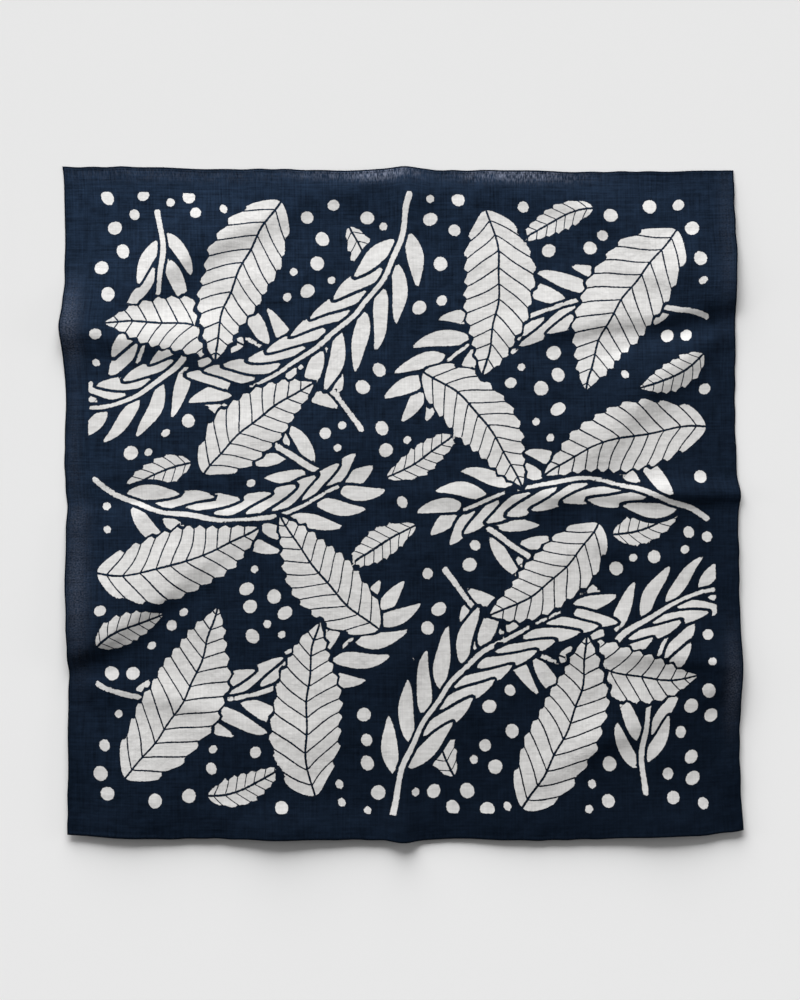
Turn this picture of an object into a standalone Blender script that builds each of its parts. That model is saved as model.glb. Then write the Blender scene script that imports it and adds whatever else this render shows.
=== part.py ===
"""A square cotton bandana lying open on a flat surface, with its hem and its folds.

The cloth is one hemmed square, so it is one closed solid. Its underside lies flat on the
surface wherever no fold lifts it, and its rim is thicker where the hem is turned under.
Lengths in the tables are millimetres, and the model is in metres with +Z up. The origin is
on the surface, under the middle of the cloth. +Y is the back edge and -Y the front edge.
"""
import math
from collections import namedtuple

import bpy
import numpy as np

MM = 0.001

# Driving sizes of the cloth, in mm
HEM_WIDTH = 4.0
HEM_STEP = 2.5
HEM_THICKNESS = 1.8
CLOTH_THICKNESS = 1.0
SIDE_FADE = 60.0
FLOOR_LEVEL = 0.35

# Grid cells between the hems, each way
CELLS = 42

# Corners of the cloth as it lies, from the middle of its box, in mm
CORNERS = {
    "back_left": (-273.0, 269.2),
    "back_right": (264.6, 266.6),
    "front_right": (273.0, -260.3),
    "front_left": (-267.8, -263.7),
}

# A side runs from its start corner to its end corner and bows outwards at its middle.
# A high squareness keeps the bow full until close to the corners.
Side = namedtuple("Side", "start end bow squareness")
SIDES = {
    "back": Side("back_left", "back_right", -0.8, 4),
    "right": Side("back_right", "front_right", -1.4, 4),
    "front": Side("front_left", "front_right", 6.1, 6),
    "left": Side("back_left", "front_left", -1.2, 6),
}

# Small waves in a side. along runs from the side's start, and out points away from the cloth.
Bump = namedtuple("Bump", "side along out spread")
BUMPS = [
    Bump("back", 50, 1.3, 30),
    Bump("back", 212, -0.8, 35),
    Bump("back", 275, 2.6, 12),
    Bump("back", 432, -1.1, 55),
    Bump("right", 72, 2.4, 28),
    Bump("right", 207, -1.0, 32),
    Bump("right", 259, 2.9, 11),
    Bump("right", 398, 1.6, 45),
    Bump("right", 475, -2.6, 55),
    Bump("front", 105, -1.6, 40),
    Bump("front", 172, -0.3, 20),
    Bump("front", 271, 2.1, 14),
    Bump("front", 385, 1.5, 40),
    Bump("front", 500, 1.1, 24),
    Bump("left", 42, -1.6, 40),
    Bump("left", 129, 3.6, 22),
    Bump("left", 230, 1.0, 25),
    Bump("left", 272, -0.9, 12),
    Bump("left", 340, 0.9, 60),
    Bump("left", 410, -1.4, 20),
]

# A fold runs from (x0, y0) to (x1, y1) and bows aside at its middle. Its crest is rise0 high
# at the start, rise halfway and rise1 at the end. back and front are its half widths on the
# +Y and the -Y side of the crest.
Fold = namedtuple("Fold", "name x0 y0 x1 y1 bow rise0 rise rise1 back front")
RIDGES = [
    Fold("back_left_slant", -245, 154, -44, 254, 8, 1.5, 4.2, 0.9, 31, 13),
    Fold("back_left_end", -60, 250, 4, 260, 2, 0.8, 1.6, 1.0, 12, 26),
    Fold("left_pinch", -278, 140, -92, 106, 4, 6.0, 4.2, 0.6, 26, 14),
    Fold("left_pinch_end", -278, 130, -240, 120, 0, 4.0, 1.6, 0.0, 34, 34),
    Fold("right_half_crease", -4, 7, 275, 8, 0, 1.0, 2.0, 4.2, 10, 7),
    Fold("right_slant", 256, 144, 116, 6, -3, 3.5, 4.8, 1.6, 30, 15),
    Fold("right_upper_edge", 278, 182, 200, 188, 0, 4.0, 1.4, 0.0, 56, 18),
    Fold("left_slant", -126, -8, -278, -130, 8, 0.3, 4.6, 6.5, 42, 13),
    Fold("front_left_ripple", -270, -140, -90, -180, 2, 1.2, 1.6, 0.3, 14, 10),
    Fold("right_low_ripple", 128, -116, 250, -126, 2, 0.3, 2.4, 3.0, 30, 9),
    Fold("right_low_edge", 278, -150, 236, -128, 2, 5.0, 3.2, 1.0, 42, 20),
    Fold("front_right_slant", 240, -152, 76, -240, -4, 0.5, 2.6, 0.3, 20, 11),
    Fold("back_right_slant", 98, 250, 240, 184, 8, 1.4, 3.0, 0.4, 26, 15),
    Fold("small_slant", 122, 2, 205, -74, 2, 0.8, 1.3, 0.2, 12, 7),
    Fold("right_pinch_bank", 282, 170, 62, 134, 5, 3.4, 3.0, 0.6, 60, 12),
    Fold("back_rim_bank", -120, 248, 172, 247, 0, 0.6, 2.0, 0.6, 14, 60),
    Fold("front_left_bank", -276, -236, -108, -240, 2, 3.0, 4.0, 2.0, 56, 34),
    Fold("middle_crease_back", 2, 280, 4, 120, 0, 1.6, 1.2, 0.2, 10, 10),
    Fold("middle_crease_front", 2, -280, 4, -40, 0, 4.6, 1.4, 0.4, 14, 8),
]

# Troughs press the cloth down between its swells
TROUGHS = [
    Fold("left_half_crease", -278, 6, -30, 3, 0, -3.0, -1.8, -0.6, 10, 8),
    Fold("right_pinch_trough", 278, 152, 78, 122, 5, -5.0, -2.6, -0.4, 12, 10),
    Fold("left_low_trough", -278, -136, -140, -116, 3, -4.0, -1.4, -0.2, 10, 9),
    Fold("back_left_trough", -236, 146, -100, 180, -4, -1.2, -1.5, -0.3, 14, 14),
    Fold("left_pinch_trough", -272, 90, -100, 92, 3, -0.8, -0.8, -0.2, 16, 20),
]

# Broad swells between the folds: ellipses around (x, y), turned by tilt degrees
Swell = namedtuple("Swell", "name x y across along tilt rise")
SWELLS = [
    Swell("back_left_billow", -150, 166, 90, 26, 10, 1.8),
    Swell("left_edge_billow", -262, -70, 44, 62, 0, 3.0),
    Swell("left_panel", -190, -40, 80, 50, 30, 1.2),
    Swell("left_trough_bank", -120, 56, 150, 40, 0, 1.3),
    Swell("middle_left_bank", -120, -18, 150, 20, 0, 0.7),
    Swell("right_billow", 160, 104, 80, 34, 18, 1.4),
    Swell("right_back_panel", 200, 200, 90, 46, -15, 1.2),
    Swell("right_middle_bank", 190, -60, 90, 40, 0, 1.0),
    Swell("right_front_billow", 130, -176, 90, 40, 25, 1.2),
    Swell("front_left_billow", -190, -212, 90, 40, 0, 1.0),
    Swell("middle_panel", 50, 60, 80, 60, 0, 0.6),
    Swell("middle_front_panel", -60, -150, 80, 60, 0, 0.6),
    Swell("front_edge", 0, -256, 290, 16, 0, 1.6),
    Swell("front_edge_middle", -34, -268, 84, 20, 0, 1.2),
    Swell("back_edge", 20, 250, 250, 14, 0, 0.8),
    Swell("front_right_bank", 190, -268, 120, 50, 0, 4.0),
]

# Places, in mm from the left or from the front side, where the grid lines stand closer
Gather = namedtuple("Gather", "place extra reach")
COLUMN_GATHERS = [Gather(12, 0.8, 30), Gather(276, 1.6, 14), Gather(530, 0.8, 30)]
ROW_GATHERS = [Gather(136, 0.7, 26), Gather(275, 2.4, 14), Gather(408, 1.0, 26)]

NAVY = (0.012, 0.018, 0.045, 1.0)
CLOTH_ROUGHNESS = 0.85


def remove_everything():
    for thing in list(bpy.data.objects):
        bpy.data.objects.remove(thing, do_unlink=True)


def smooth_step(t):
    t = np.clip(t, 0.0, 1.0)
    return t * t * (3.0 - 2.0 * t)


def side_length(side):
    x0, y0 = CORNERS[side.start]
    x1, y1 = CORNERS[side.end]
    return math.hypot(x1 - x0, y1 - y0)


def side_out(name, share):
    """How far a side stands out from the straight line between its corners."""
    side = SIDES[name]
    along = share * side_length(side)
    out = side.bow * (1.0 - np.abs(2.0 * share - 1.0) ** side.squareness)
    for bump in BUMPS:
        if bump.side == name:
            out = out + bump.out * np.exp(-(((along - bump.along) / bump.spread) ** 2))
    return out


def side_share(depth):
    """How much of a side's shift reaches a point that lies depth mm inside it."""
    return np.exp(-((depth / SIDE_FADE) ** 2))


def plan_point(across, back):
    """Place on the surface of the point that is a share across to the right, and back."""
    place = []
    for axis in (0, 1):
        front = (1 - across) * CORNERS["front_left"][axis] + across * CORNERS["front_right"][axis]
        rear = (1 - across) * CORNERS["back_left"][axis] + across * CORNERS["back_right"][axis]
        place.append((1 - back) * front + back * rear)
    x, y = place
    width = side_length(SIDES["back"])
    depth = side_length(SIDES["left"])
    x = x + side_out("right", 1 - back) * side_share((1 - across) * width)
    x = x - side_out("left", 1 - back) * side_share(across * width)
    y = y + side_out("back", across) * side_share((1 - back) * depth)
    y = y - side_out("front", across) * side_share(back * depth)
    return x, y


def fold_rise(fold, x, y, samples=24):
    """Height that one fold adds at the points x, y."""
    run_x = fold.x1 - fold.x0
    run_y = fold.y1 - fold.y0
    length = math.hypot(run_x, run_y)
    side_x = -run_y / length
    side_y = run_x / length
    half_step = 0.5 * length / samples
    nearest = np.full(x.shape, 1e9)
    share = np.zeros(x.shape)
    offset = np.zeros(x.shape)
    for k in range(samples + 1):
        t = k / samples
        aside = 4.0 * fold.bow * t * (1.0 - t)
        turn = 4.0 * fold.bow * (1.0 - 2.0 * t) / length
        scale = 1.0 / math.hypot(1.0, turn)
        ahead_x = (run_x / length + side_x * turn) * scale
        ahead_y = (run_y / length + side_y * turn) * scale
        dx = x - (fold.x0 + run_x * t + side_x * aside)
        dy = y - (fold.y0 + run_y * t + side_y * aside)
        ahead = dx * ahead_x + dy * ahead_y
        off = dy * ahead_x - dx * ahead_y
        reach = np.hypot(off, np.maximum(np.abs(ahead) - half_step, 0.0))
        nearer = reach < nearest
        nearest = np.where(nearer, reach, nearest)
        share = np.where(nearer, np.clip(t + ahead / length, 0.0, 1.0), share)
        offset = np.where(nearer, off, offset)
    # lean is 1 straight behind the crest and -1 in front of it
    lean = np.clip(offset / np.maximum(nearest, 1e-6), -1.0, 1.0) * math.copysign(1.0, side_y)
    half_width = fold.front + (fold.back - fold.front) * (0.5 + 0.5 * lean)
    crest = np.where(
        share < 0.5,
        fold.rise0 + (fold.rise - fold.rise0) * smooth_step(2.0 * share),
        fold.rise + (fold.rise1 - fold.rise) * smooth_step(2.0 * share - 1.0),
    )
    return crest * np.exp(-((nearest / half_width) ** 2))


def swell_rise(swell, x, y):
    turn = math.radians(swell.tilt)
    u = (x - swell.x) * math.cos(turn) + (y - swell.y) * math.sin(turn)
    v = (y - swell.y) * math.cos(turn) - (x - swell.x) * math.sin(turn)
    return swell.rise * np.exp(-((u / swell.across) ** 2) - ((v / swell.along) ** 2))


def underside_height(x, y):
    """Height of the cloth's underside. It is exactly 0 where the cloth lies on the surface."""
    height = np.full(x.shape, -FLOOR_LEVEL)
    for swell in SWELLS:
        height = height + swell_rise(swell, x, y)
    for fold in RIDGES + TROUGHS:
        height = height + fold_rise(fold, x, y)
    return np.maximum(height, 0.0)


def grid_lines(length, gathers):
    """Shares of the length at which the grid lines stand: the hems, and the lines between."""
    hem = HEM_WIDTH / length
    step = (HEM_WIDTH + HEM_STEP) / length
    fine = np.linspace(step, 1.0 - step, 20 * CELLS)
    density = np.ones(fine.shape)
    for gather in gathers:
        density += gather.extra * np.exp(-(((fine * length - gather.place) / gather.reach) ** 2))
    mass = np.concatenate(([0.0], np.cumsum(density[1:] + density[:-1])))
    inner = np.interp(np.linspace(0.0, mass[-1], CELLS + 1), mass, fine)
    return np.concatenate(([0.0, hem], inner, [1.0 - hem, 1.0]))


def cloth_material():
    material = bpy.data.materials.new("navy_cotton")
    material.use_nodes = True
    shader = material.node_tree.nodes["Principled BSDF"]
    shader.inputs["Base Color"].default_value = NAVY
    shader.inputs["Roughness"].default_value = CLOTH_ROUGHNESS
    shader.inputs["Metallic"].default_value = 0.0
    material.diffuse_color = NAVY
    return material


def make_bandana(collection):
    """The underside is a grid on the folds, and Solidify gives it its thickness and hem."""
    cells = CELLS + 4
    bpy.ops.mesh.primitive_grid_add(x_subdivisions=cells, y_subdivisions=cells, size=2.0)
    cloth = bpy.context.object
    cloth.name = "bandana"
    cloth.data.name = "bandana"
    for holder in list(cloth.users_collection):
        holder.objects.unlink(cloth)
    collection.objects.link(cloth)

    count = len(cloth.data.vertices)
    flat = np.empty(count * 3)
    cloth.data.vertices.foreach_get("co", flat)
    flat = flat.reshape(count, 3)
    column = np.rint((flat[:, 0] + 1.0) * 0.5 * cells).astype(int)
    row = np.rint((flat[:, 1] + 1.0) * 0.5 * cells).astype(int)
    across = grid_lines(side_length(SIDES["back"]), COLUMN_GATHERS)[column]
    back = grid_lines(side_length(SIDES["left"]), ROW_GATHERS)[row]

    x, y = plan_point(across, back)
    z = underside_height(x, y)
    x = x - 0.5 * (x.min() + x.max())
    y = y - 0.5 * (y.min() + y.max())
    placed = np.stack((x, y, z), axis=1) * MM
    cloth.data.vertices.foreach_set("co", placed.ravel())
    cloth.data.update()

    near_rim = np.minimum(np.minimum(column, cells - column), np.minimum(row, cells - row))
    hem = cloth.vertex_groups.new(name="hem")
    hem.add([int(i) for i in np.flatnonzero(near_rim <= 1)], 1.0, "REPLACE")
    hem.add([int(i) for i in np.flatnonzero(near_rim > 1)], 0.0, "REPLACE")

    solidify = cloth.modifiers.new("thickness", "SOLIDIFY")
    solidify.thickness = HEM_THICKNESS * MM
    solidify.offset = 1.0
    solidify.vertex_group = hem.name
    solidify.thickness_vertex_group = CLOTH_THICKNESS / HEM_THICKNESS

    cloth.data.materials.append(cloth_material())
    cloth.data.shade_smooth()
    return cloth


def main():
    remove_everything()
    collection = bpy.data.collections.new("Bandana")
    bpy.context.scene.collection.children.link(collection)
    make_bandana(collection)


main()
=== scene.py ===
"""The looks of a printed cotton bandana that lies open on a pale floor.

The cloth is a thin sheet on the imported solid's folds, with a turned and stitched hem.
Lengths in the tables are millimetres, the scene is in metres with +Z up, +Y is the back
edge and the top of the picture. A flat place on the cloth is (across, back), from 0 to 1.
"""
import math
from collections import namedtuple

import bmesh
import bpy
import numpy as np
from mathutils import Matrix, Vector


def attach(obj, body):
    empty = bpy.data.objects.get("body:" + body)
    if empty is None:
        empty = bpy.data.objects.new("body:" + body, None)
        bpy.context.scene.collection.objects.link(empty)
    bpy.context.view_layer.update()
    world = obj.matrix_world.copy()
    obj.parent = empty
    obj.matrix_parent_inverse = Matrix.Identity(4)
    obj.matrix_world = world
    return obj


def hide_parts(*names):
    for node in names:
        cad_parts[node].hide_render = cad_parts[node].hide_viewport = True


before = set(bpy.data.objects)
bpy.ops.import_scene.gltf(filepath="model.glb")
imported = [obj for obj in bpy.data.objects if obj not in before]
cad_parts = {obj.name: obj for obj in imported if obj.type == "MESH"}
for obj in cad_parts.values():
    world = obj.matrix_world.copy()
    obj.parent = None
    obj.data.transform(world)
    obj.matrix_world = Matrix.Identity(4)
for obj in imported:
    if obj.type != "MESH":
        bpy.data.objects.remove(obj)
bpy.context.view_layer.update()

MM = 0.001

# The flat size that the print, the hem and the grid are laid out in, and the sheet
FLAT_WIDTH = 550.0
FLAT_DEPTH = 545.0
SHEET_THICKNESS = 0.4
HEM_THICKNESS = 0.75
# How deep inside the cloth the shape of a side is still felt
SIDE_FADE = 60.0
# Folds lower than this lie on the floor, and the cloth settles there softly
FLOOR_LEVEL = 0.35
SETTLE = 0.3

# Grid cells between the hems, each way, and the grid lines of a hem, in mm from the rim
CELLS = 206
HEM_LINES = (0.0, 0.6, 1.3, 2.0, 2.7, 3.5, 5.0)
# How much of the hem's extra thickness stands at each of those lines
HEM_SHARES = (0.6, 0.9, 1.0, 0.8, 0.35, 0.15, 0.0)
# The grid lines of the hem that its rim of painted shade covers, and the rim's material slot
RIM_RINGS = 2
RIM_SLOT = 2
# Points along each side from which the outline's box is reckoned
OUTLINE_POINTS = 401

# Corners of the cloth as it lies, from the middle of its box, in mm
CORNERS = {
    "back_left": (-273.0, 269.2),
    "back_right": (264.6, 266.6),
    "front_right": (273.0, -260.3),
    "front_left": (-267.8, -263.7),
}

# A side runs from its start corner to its end corner and bows outwards at its middle.
# A high squareness keeps the bow full until close to the corners.
Side = namedtuple("Side", "start end bow squareness")
SIDES = {
    "back": Side("back_left", "back_right", -0.8, 4),
    "right": Side("back_right", "front_right", -1.4, 4),
    "front": Side("front_left", "front_right", 6.1, 6),
    "left": Side("back_left", "front_left", -1.2, 6),
}

# Small waves in a side. along runs from the side's start, and out points away from the cloth.
Bump = namedtuple("Bump", "side along out spread")
BUMPS = [
    Bump("back", 50, 1.3, 30),
    Bump("back", 212, -0.8, 35),
    Bump("back", 275, 2.6, 12),
    Bump("back", 432, -1.1, 55),
    Bump("right", 72, 2.4, 28),
    Bump("right", 207, -1.0, 32),
    Bump("right", 259, 2.9, 11),
    Bump("right", 398, 1.6, 45),
    Bump("right", 475, -2.6, 55),
    Bump("front", 105, -1.6, 40),
    Bump("front", 172, -0.3, 20),
    Bump("front", 271, 2.1, 14),
    Bump("front", 385, 1.5, 40),
    Bump("front", 500, 1.1, 24),
    Bump("left", 42, -1.6, 40),
    Bump("left", 129, 3.6, 22),
    Bump("left", 230, 1.0, 25),
    Bump("left", 272, -0.9, 12),
    Bump("left", 340, 0.9, 60),
    Bump("left", 410, -1.4, 20),
]

# A fold runs from (x0, y0) to (x1, y1) and bows aside at its middle. Its crest is rise0 high
# at the start, rise halfway and rise1 at the end. back and front are its half widths on the
# +Y and the -Y side of the crest. These rows are the solid's own.
Fold = namedtuple("Fold", "name x0 y0 x1 y1 bow rise0 rise rise1 back front")
RIDGES = [
    Fold("back_left_slant", -245, 154, -44, 254, 8, 1.5, 4.2, 0.9, 31, 13),
    Fold("back_left_end", -60, 250, 4, 260, 2, 0.8, 1.6, 1.0, 12, 26),
    Fold("left_pinch", -278, 140, -92, 106, 4, 6.0, 4.2, 0.6, 26, 14),
    Fold("left_pinch_end", -278, 130, -240, 120, 0, 4.0, 1.6, 0.0, 34, 34),
    Fold("right_half_crease", -4, 7, 275, 8, 0, 1.0, 2.0, 4.2, 10, 7),
    Fold("right_slant", 256, 144, 116, 6, -3, 3.5, 4.8, 1.6, 30, 15),
    Fold("right_upper_edge", 278, 182, 200, 188, 0, 4.0, 1.4, 0.0, 56, 18),
    Fold("left_slant", -126, -8, -278, -130, 8, 0.3, 4.6, 6.5, 42, 13),
    Fold("front_left_ripple", -270, -140, -90, -180, 2, 1.2, 1.6, 0.3, 14, 10),
    Fold("right_low_ripple", 128, -116, 250, -126, 2, 0.3, 2.4, 3.0, 30, 9),
    Fold("right_low_edge", 278, -150, 236, -128, 2, 5.0, 3.2, 1.0, 42, 20),
    Fold("front_right_slant", 240, -152, 76, -240, -4, 0.5, 2.6, 0.3, 20, 11),
    Fold("back_right_slant", 98, 250, 240, 184, 8, 1.4, 3.0, 0.4, 26, 15),
    Fold("small_slant", 122, 2, 205, -74, 2, 0.8, 1.3, 0.2, 12, 7),
    Fold("right_pinch_bank", 282, 170, 62, 134, 5, 3.4, 3.0, 0.6, 60, 12),
    Fold("back_rim_bank", -120, 248, 172, 247, 0, 0.6, 2.0, 0.6, 14, 60),
    Fold("front_left_bank", -276, -236, -108, -240, 2, 3.0, 4.0, 2.0, 56, 34),
    Fold("middle_crease_back", 2, 280, 4, 120, 0, 1.6, 1.2, 0.2, 10, 10),
    Fold("middle_crease_front", 2, -280, 4, -40, 0, 4.6, 1.4, 0.4, 14, 8),
]

# Troughs press the cloth down between its swells
TROUGHS = [
    Fold("left_half_crease", -278, 6, -30, 3, 0, -3.0, -1.8, -0.6, 10, 8),
    Fold("right_pinch_trough", 278, 152, 78, 122, 5, -5.0, -2.6, -0.4, 12, 10),
    Fold("left_low_trough", -278, -136, -140, -116, 3, -4.0, -1.4, -0.2, 10, 9),
    Fold("back_left_trough", -236, 146, -100, 180, -4, -1.2, -1.5, -0.3, 14, 14),
    Fold("left_pinch_trough", -272, 90, -100, 92, 3, -0.8, -0.8, -0.2, 16, 20),
]

# Creases that the solid leaves out
FINE_FOLDS = [
    Fold("left_crease_line", -276, 8, -60, 7, 0, 1.5, 1.1, 0.4, 16, 4),
    Fold("middle_crease_line", 5, 268, 5, -268, 0, 0.5, 0.35, 0.6, 3, 3),
    Fold("back_hem_ridge", -240, 264, 160, 262, 0, 0.2, 0.5, 0.1, 5, 7),
]

# Broad swells between the folds: ellipses around (x, y), turned by tilt degrees
Swell = namedtuple("Swell", "name x y across along tilt rise")
SWELLS = [
    Swell("back_left_billow", -150, 166, 90, 26, 10, 1.8),
    Swell("left_edge_billow", -262, -70, 44, 62, 0, 3.0),
    Swell("left_panel", -190, -40, 80, 50, 30, 1.2),
    Swell("left_trough_bank", -120, 56, 150, 40, 0, 1.3),
    Swell("middle_left_bank", -120, -18, 150, 20, 0, 0.7),
    Swell("right_billow", 160, 104, 80, 34, 18, 1.4),
    Swell("right_back_panel", 200, 200, 90, 46, -15, 1.2),
    Swell("right_middle_bank", 190, -60, 90, 40, 0, 1.0),
    Swell("right_front_billow", 130, -176, 90, 40, 25, 1.2),
    Swell("front_left_billow", -190, -212, 90, 40, 0, 1.0),
    Swell("middle_panel", 50, 60, 80, 60, 0, 0.6),
    Swell("middle_front_panel", -60, -150, 80, 60, 0, 0.6),
    Swell("front_edge", 0, -256, 290, 16, 0, 1.6),
    Swell("front_edge_middle", -34, -268, 84, 20, 0, 1.2),
    Swell("back_edge", 20, 250, 250, 14, 0, 0.8),
    Swell("front_right_bank", 190, -268, 120, 50, 0, 4.0),
]

# The rim curls up here, but not at the back. along runs from the side's start, and reach
# is the curl's width.
Curl = namedtuple("Curl", "side along rise spread reach")
CURLS = [
    Curl("front", 46, 3.3, 62, 20),
    Curl("front", 176, 5.4, 50, 18),
    Curl("front", 244, 1.3, 36, 14),
    Curl("front", 350, 1.5, 50, 14),
    Curl("front", 505, 2.5, 40, 18),
    Curl("right", 130, 1.4, 50, 8),
    Curl("right", 330, 3.4, 80, 15),
    Curl("right", 480, 3.4, 60, 15),
    Curl("left", 330, 2.4, 60, 12),
    Curl("left", 460, 2.8, 60, 12),
]

# Unevenness of the cloth between its folds: waves of these lengths, in mm
Ripple = namedtuple("Ripple", "length rise waves")
RIPPLES = [
    Ripple(95, 0.42, 8),
    Ripple(44, 0.21, 10),
    Ripple(21, 0.07, 12),
]
RIPPLE_SEED = 5
# How much the lengths vary, and how many waves together are as strong as one of full rise
RIPPLE_VARIES = (0.75, 1.35)
RIPPLE_CROWD = 8

# Random places lie no farther from the middle than this, each way
SCATTER = 250

# Small slack wrinkles, scattered over the cloth: how many, and the ranges of their sizes
WRINKLES = 64
WRINKLE_SEED = 23
WRINKLE_LENGTH = (34, 92)
WRINKLE_RISE = (0.3, 0.9)
WRINKLE_WIDTH = (7, 14)
WRINKLE_BOW = 6
# Their usual headings in degrees, how far they stray from them, and how much wider their
# back slope is than their front one
WRINKLE_HEADINGS = (28, 152, 8)
WRINKLE_STRAY = 16
WRINKLE_BACK = 1.5

# The hem's puckers between its stitches, and how much they slant
PUCKER_LENGTH = 11.0
PUCKER_RISE = 0.16
PUCKER_REACH = 9.0
PUCKER_SLANT = 0.6
# Slow waves in mm a radian make them uneven, and shift them by this much
PUCKER_DRIFT = 31.0
PUCKER_SHIFT = 1.6
# The waves of the rim: a short and a long one in mm a radian, and the short one's unevenness
RIM_WAVE = 0.25
RIM_REACH = 16.0
RIM_SHORT = 5.3
RIM_LONG = 14.7
RIM_DRIFT = 23.0
RIM_SHIFT = 2.0
# Where these waves start on the right, front and back sides, so that no two sides match
RIGHT_START = 71.0
FRONT_START = 33.0
BACK_START = 118.0

# The print stands this far from the middle of the flat cloth, and its motifs this far apart
PRINT_HALF_WIDTH = 256.0
PRINT_HALF_DEPTH = 252.0
MOTIF_GAP = 2.4
LEAF_GAP = 4.4
# A scrap of a motif is no wider than this, in mm, for this many grid cells all round
SCRAP_WIDTH = 0.75
SCRAP_REACH = 3
# A motif is left out where less of it than this would show
LEAST_MOTIF = 2.0
LEAST_BLADE = 1.8
LEAST_STEM = 0.8
# Motifs this near count when another's layer is chosen, and this much room is plenty
LAYER_REACH = 3.5
LAYER_ROOM = 9.0
# A motif is drawn at the points of a box that is this much larger all round
MARGIN = 8
# The value of a field far outside every motif
NOWHERE = -50.0

# A design that is cut by hand strays by a long wave and a short one, in mm a radian
Cut = namedtuple("Cut", "long start short cross")
CUT_X = Cut(19.0, 0.7, 7.3, 11.0)
CUT_Y = Cut(17.0, 2.1, 8.1, -12.0)
CUT_LONG = 1.4
CUT_SHORT = 0.8

# Veined leaves: base point, heading, length, turn along the midrib, half width, and the
# distance between veins. Each row is printed twice, the second time turned half round.
Leaf = namedtuple("Leaf", "x y heading length turn half_width vein")
BROAD_LEAVES = [
    Leaf(-226, -222, 44, 158, 34, 34, 13),
    Leaf(-74, -238, 104, 140, -34, 31, 13),
    Leaf(-248, -60, -2, 140, 38, 30, 13),
    Leaf(-20, -104, 150, 126, -40, 28, 12),
    Leaf(96, -244, 48, 146, 40, 31, 13),
    Leaf(-158, 22, 58, 118, -36, 27, 12),
    Leaf(128, -128, -24, 116, 30, 25, 12),
]
SMALL_LEAVES = [
    Leaf(-160, -240, 8, 70, 30, 13, 9),
    Leaf(-250, -120, 40, 66, -30, 13, 9),
    Leaf(-130, -140, -10, 70, 34, 13, 9),
    Leaf(40, -226, 118, 70, -30, 13, 9),
    Leaf(10, -20, -160, 74, 30, 13, 9),
    Leaf(170, -30, 10, 70, 30, 13, 9),
    Leaf(60, -160, 160, 64, -24, 12, 9),
]
# A leaf's outline: steps along its midrib, powers below 1 that move its widest place to its
# base and make it fuller, how much it narrows to its tip, and the radius it always keeps
LEAF_STEPS = 60
LEAF_BASE_POWER = 0.8
LEAF_FULL_POWER = 0.9
LEAF_NARROWING = 0.15
LEAF_TIP = 0.2
# Its veins' slant, and its lobes, one to a vein. They begin LOBE_START off the midrib and
# are full LOBE_RUN farther out.
VEIN_SLANT = 0.75
LOBE_DEPTH = 1.6
LOBE_INSET = 1.2
LOBE_START = 4
LOBE_RUN = 8
# Its veins are also stored this far outside it, for its wobbling edge
LEAF_SPILL = 4.0

# Sprays: a bent stem with slender leaves on both sides, also printed twice
Spray = namedtuple("Spray", "x y heading length turn pairs leaf_length leaf_width splay")
SPRAYS = [
    Spray(-252, -150, -22, 250, 70, 9, 56, 12, 38),
    Spray(-10, -250, 80, 230, -66, 9, 54, 12, 40),
    Spray(34, -58, -58, 190, 58, 8, 50, 11, 38),
    Spray(-250, 16, -34, 210, 64, 8, 52, 11.5, 38),
    Spray(150, -150, 62, 150, -60, 6, 48, 11, 40),
    Spray(-50, 16, 160, 150, -50, 6, 48, 11, 40),
    Spray(196, -236, 96, 130, -30, 6, 46, 11, 40),
]
# The stem's steps, base radius, taper to the tip, and how far around it points are drawn
STEM_STEPS = 80
STEM_RADIUS = 2.5
STEM_TAPER = 1.0
STEM_REACH = 12
# Where on the stem the pairs begin, how far they go on, and the second leaf's steps behind
FIRST_PAIR = 0.12
PAIR_SPAN = 0.84
PAIR_STAGGER = 3
# A pair has PAIR_LENGTH of the full length, and up to PAIR_SWELL more about the middle of
# the stem. That swell begins SWELL_START into half a turn and spans SWELL_SPAN of it.
PAIR_LENGTH = 0.62
PAIR_SWELL = 0.38
SWELL_START = 0.15
SWELL_SPAN = 0.8
# How far from the stem's middle line a slender leaf begins, its turn in degrees, and the
# share of the length and the turn of the one at the tip
STALK = 4.2
BLADE_TURN = 24
TIP_SHARE = 0.7
TIP_TURN = 10
# Its steps in mm and their least number, the power that shapes it, and the radius it keeps
BLADE_STEP = 1.6
BLADE_STEPS = 4
BLADE_POWER = 0.75
BLADE_TIP = 0.25

# Berries in the open places: radius and how many places are tried
Berries = namedtuple("Berries", "radius tries")
BERRIES = [Berries(5.6, 900), Berries(4.6, 1200), Berries(3.4, 1500)]
BERRY_SEED = 11
# How near the room for a berry is looked up, and the gap around it
BERRY_LOOK = 3.0
BERRY_GAP = 3.6

# Painted light on the plain border, in mm on the flat cloth: at the back, light that shines
# through the weave, painted paler into its colour; at the sides, painted highlights
SheerPaintedLight = namedtuple("SheerPaintedLight", "x y across along strength")
BACK_SHEER_PAINTED_LIGHT = [
    SheerPaintedLight(-14, 269, 25, 5, 1.0),
    SheerPaintedLight(-54, 269, 36, 4, 0.35),
    SheerPaintedLight(97, 269, 40, 5, 1.0),
    SheerPaintedLight(-190, 268, 90, 6, 0.12),
]
SIDE_SHEER_PAINTED_LIGHT = [
    SheerPaintedLight(-268, 142, 8, 28, 0.44),
    SheerPaintedLight(-266, -18, 9, 14, 0.27),
    SheerPaintedLight(-266, -70, 9, 58, 0.31),
    SheerPaintedLight(-268, 40, 6, 60, 0.10),
    SheerPaintedLight(268, -150, 6, 34, 0.27),
    SheerPaintedLight(268, 220, 6, 60, 0.10),
]

# Stitches of the hem, each an egg of few faces
STITCH_INSET = 2.4
STITCH_PITCH = 2.9
STITCH_LENGTH = 2.2
STITCH_WIDTH = 0.42
STITCH_SINK = 0.1
STITCH_SEGMENTS = 6
STITCH_RINGS = 5

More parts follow.
